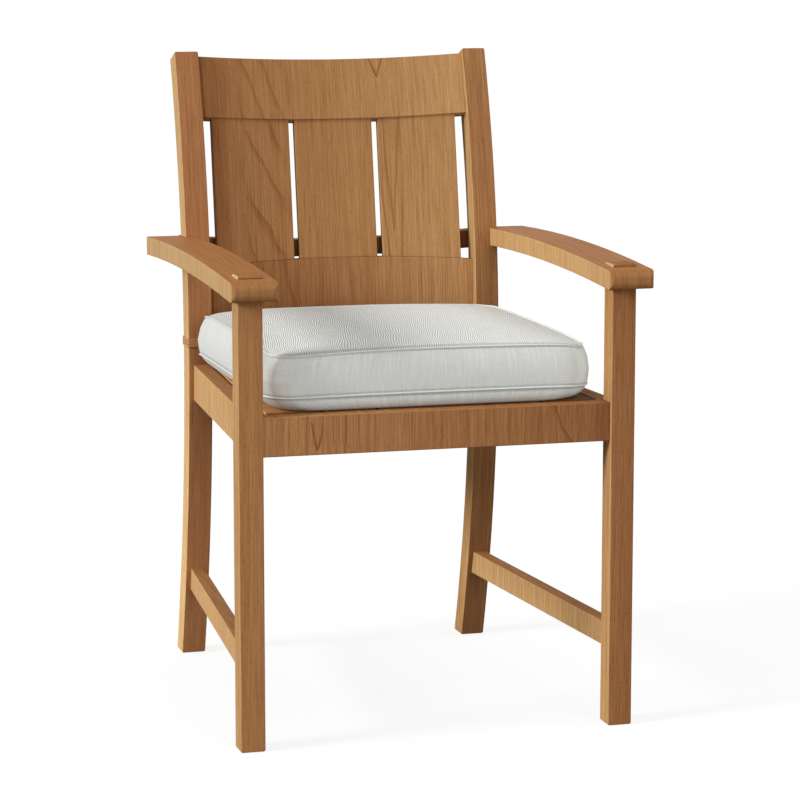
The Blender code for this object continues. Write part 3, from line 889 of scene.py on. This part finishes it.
def sewWelt(name, line, make, finish):
    curve = bpy.data.curves.new(name, "CURVE")
    curve.dimensions = "3D"
    curve.bevel_depth = make["radius"]
    curve.bevel_resolution = make["sides"]
    spline = curve.splines.new("POLY")
    spline.points.add(len(line) - 1)
    for point, spot in zip(spline.points, line):
        point.co = (*spot, 1)
    spline.use_cyclic_u = True
    spline.use_smooth = True
    helper = addObject(name, curve)
    mesh = bpy.data.meshes.new_from_object(helper.evaluated_get(bpy.context.evaluated_depsgraph_get()))
    bpy.data.objects.remove(helper)
    mesh.materials.clear()
    mesh.materials.append(finish)
    return addObject(name, mesh)


def weltFinish(look, boxing):
    material, wire, shader = newFinish("cushion_welt")
    yarn, colour = spunYarn(wire, look["yarn"], paint(boxing), paint(boxing, look["pale"]))
    coat(wire, shader, colour, yarn, look)
    return material


def makeCushion():
    low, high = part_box("cushion_cover")
    piece = sewCover(cushionMake, low, high)
    halves = (high.x - low.x) / 2, (high.y - low.y) / 2
    piece.data.materials.append(clothFinish("cushion_panel", clothLook, True, halves))
    tall = cushionMake["rows"][-1][1]
    lowSeam = (cushionMake["lowSeamRow"] / topRow(cushionMake) - 0.5) * tall
    piece.data.materials.append(clothFinish("cushion_boxing", clothLook, False, halves, (tall / 2, lowSeam)))
    pressOut(cushionMake, piece)
    finish = weltFinish(weltLook, clothLook["boxing"])
    for place, row in (("upper", topRow(cushionMake)), ("lower", cushionMake["lowSeamRow"])):
        line = seamLine(piece, row, *weltMake[place])
        welt = sewWelt("welt_" + place, line, weltMake, finish)
        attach(welt, "cushion")
        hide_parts("cushion_welt_" + place)
    finer = piece.modifiers.new("finer", "SUBSURF")
    finer.levels = finer.render_levels = 1
    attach(piece, "cushion")
    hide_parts("cushion_cover", "cushion_foam")
    return piece


seatCushion = makeCushion()
print("cushion sewn")


# the zip in the rear boxing: a tape that follows the cover, with its coil down the middle
zipMake = {
    "tape": 0.0090,
    "thick": 0.0008,
    "coil": 0.0011,
    "coilHalf": 0.0016,
    "lift": 0.0003,
    "steps": 90,
    "rows": 12,
    "sewnFrom": 0.05,
}
zipLook = {
    "tape": (0.66, 0.66, 0.62),
    "coil": (0.52, 0.52, 0.50),
    "gap": (0.55, 0.55, 0.55),
    "gapBand": (0.3, -0.8, 0.0, 0.7),
    "teeth": 0.0018,
    "weave": 0.0011,
    "rough": 0.6,
    "gloss": 0.25,
    "relief": 0.4,
    "reliefDeep": 0.0003,
}


def zipFinish(look, middle):
    material, wire, shader = newFinish("zip_tape")
    parts = wire.split(wire.spot())
    onCoil = wire.calc("LESS_THAN", wire.away(parts[2], middle), zipMake["coilHalf"])
    pattern = wire.either(onCoil, wire.wave(parts[2], look["weave"]), wire.wave(parts[0], look["teeth"]))
    colour = wire.tint(onCoil, paint(look["tape"]), paint(look["coil"]))
    colour = wire.toned(wire.band(pattern, *look["gapBand"]), colour, look["gap"])
    coat(wire, shader, colour, pattern, look)
    return material


def makeZip(make, cushion):
    low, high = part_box("cushion_zip")
    middle = (low + high) / 2
    cover = BVHTree.FromObject(cushion, bpy.context.evaluated_depsgraph_get())
    form = bmesh.new()
    bmesh.ops.create_grid(form, x_segments=make["steps"], y_segments=make["rows"], size=1)
    bmesh.ops.reverse_faces(form, faces=form.faces)
    for vert in form.verts:
        x = middle.x + vert.co.x * (high.x - low.x) / 2
        up = vert.co.y * make["tape"] / 2
        behind = Vector((x, high.y + make["sewnFrom"], middle.z + up))
        spot = cover.ray_cast(behind, Vector((0, -1, 0)))[0]
        coil = make["coil"] * max(0.0, 1 - (up / make["coilHalf"]) ** 2) ** 0.5
        vert.co = (x, spot.y + make["lift"] + coil, spot.z)
    piece = addObject("zip", toMesh(form, "zip"))
    piece.data.materials.append(zipFinish(zipLook, middle.z))
    giveWall(piece, make["thick"])
    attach(piece, "cushion")
    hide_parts("cushion_zip")


makeZip(zipMake, seatCushion)
print("zip sewn in")


# the ties: a flat strap round each rear leg, the colour of the wood, with two stitched grooves that show at
# its sides; the sides are painted paler as painted light, and the grooves get painted shade, strongest at the
# sides
tieMake = {
    "thick": 0.0012,
    "corner": 0.0030,
    "cornerSteps": 5,
    "rows": 24,
    "grooves": (0.34, 0.68),
    "grooveHalf": 0.075,
    "grooveDeep": 0.0005,
    "leastUpright": 0.0001,
}
tieLook = {
    "strap": (0.48, 0.212, 0.086),
    "pale": (0.52, 0.236, 0.098),
    "yarn": (900, 900, 2600),
    # painted light on the strap's sides, then the painted shade of the grooves
    "sidePaintedLight": (1.18, 1.50, 1.72),
    "sideBand": (0.5, 0.85),
    "groove": (0.30, 0.24, 0.20),
    "grooveFull": 0.4,
    "grooveFaint": 0.15,
    "rough": 0.85,
    "gloss": 0.15,
    "relief": 0.3,
    "reliefDeep": 0.0003,
}


def tieFinish(look, low, high):
    material, wire, shader = newFinish("tie_strap")
    yarn, colour = spunYarn(wire, look["yarn"], paint(look["strap"]), paint(look["pale"]))
    parts = wire.split(wire.spot())
    tall = wire.calc("DIVIDE", wire.calc("SUBTRACT", parts[2], low.z), high.z - low.z)
    # painted light: the strap's sides are made paler
    atSide = wire.band(wire.calc("ABSOLUTE", wire.facing()[0]), *look["sideBand"])
    colour = wire.toned(atSide, colour, look["sidePaintedLight"])
    # painted shade in the grooves, strongest at the sides
    shows = wire.calc("MULTIPLY_ADD", atSide, 1 - look["grooveFaint"], look["grooveFaint"])
    half = tieMake["grooveHalf"]
    for groove in tieMake["grooves"]:
        dark = wire.band(wire.away(tall, groove), half, look["grooveFull"] * half)
        colour = wire.toned(wire.times(dark, shows), colour, look["groove"])
    coat(wire, shader, colour, yarn, look)
    return material


def makeTie(make, side, finish):
    low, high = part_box("cushion_tie_" + side)
    form = bmesh.new()
    bmesh.ops.create_cube(form, size=1)
    bmesh.ops.scale(form, vec=high - low, verts=form.verts)
    bmesh.ops.translate(form, vec=(low + high) / 2, verts=form.verts)
    form.normal_update()
    ends = [f for f in form.faces if abs(f.normal.z) > nearly]
    bmesh.ops.delete(form, geom=ends, context="FACES_ONLY")

    def upright():
        return [e for e in form.edges if abs(e.verts[0].co.z - e.verts[1].co.z) > make["leastUpright"]]

    bmesh.ops.bevel(form, geom=upright(), offset=make["corner"], offset_type="OFFSET", affect="EDGES",
                    segments=make["cornerSteps"], profile=0.5, material=-1)
    bmesh.ops.subdivide_edges(form, edges=upright(), cuts=make["rows"] - 1, use_grid_fill=True)
    form.normal_update()
    for vert in form.verts:
        tall = (vert.co.z - low.z) / (high.z - low.z)
        deep = max(1 - abs(tall - groove) / make["grooveHalf"] for groove in make["grooves"])
        if deep > 0:
            vert.co -= vert.normal * make["grooveDeep"] * deep
    for face in form.faces:
        face.smooth = True
    piece = addObject("tie_" + side, toMesh(form, "tie_" + side))
    piece.data.materials.append(finish)
    giveWall(piece, make["thick"])
    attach(piece, "frame")
    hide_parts("cushion_tie_" + side)


strapFinish = tieFinish(tieLook, *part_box("cushion_tie_left"))
for side in ("left", "right"):
    makeTie(tieMake, side, strapFinish)
print("ties wrapped")
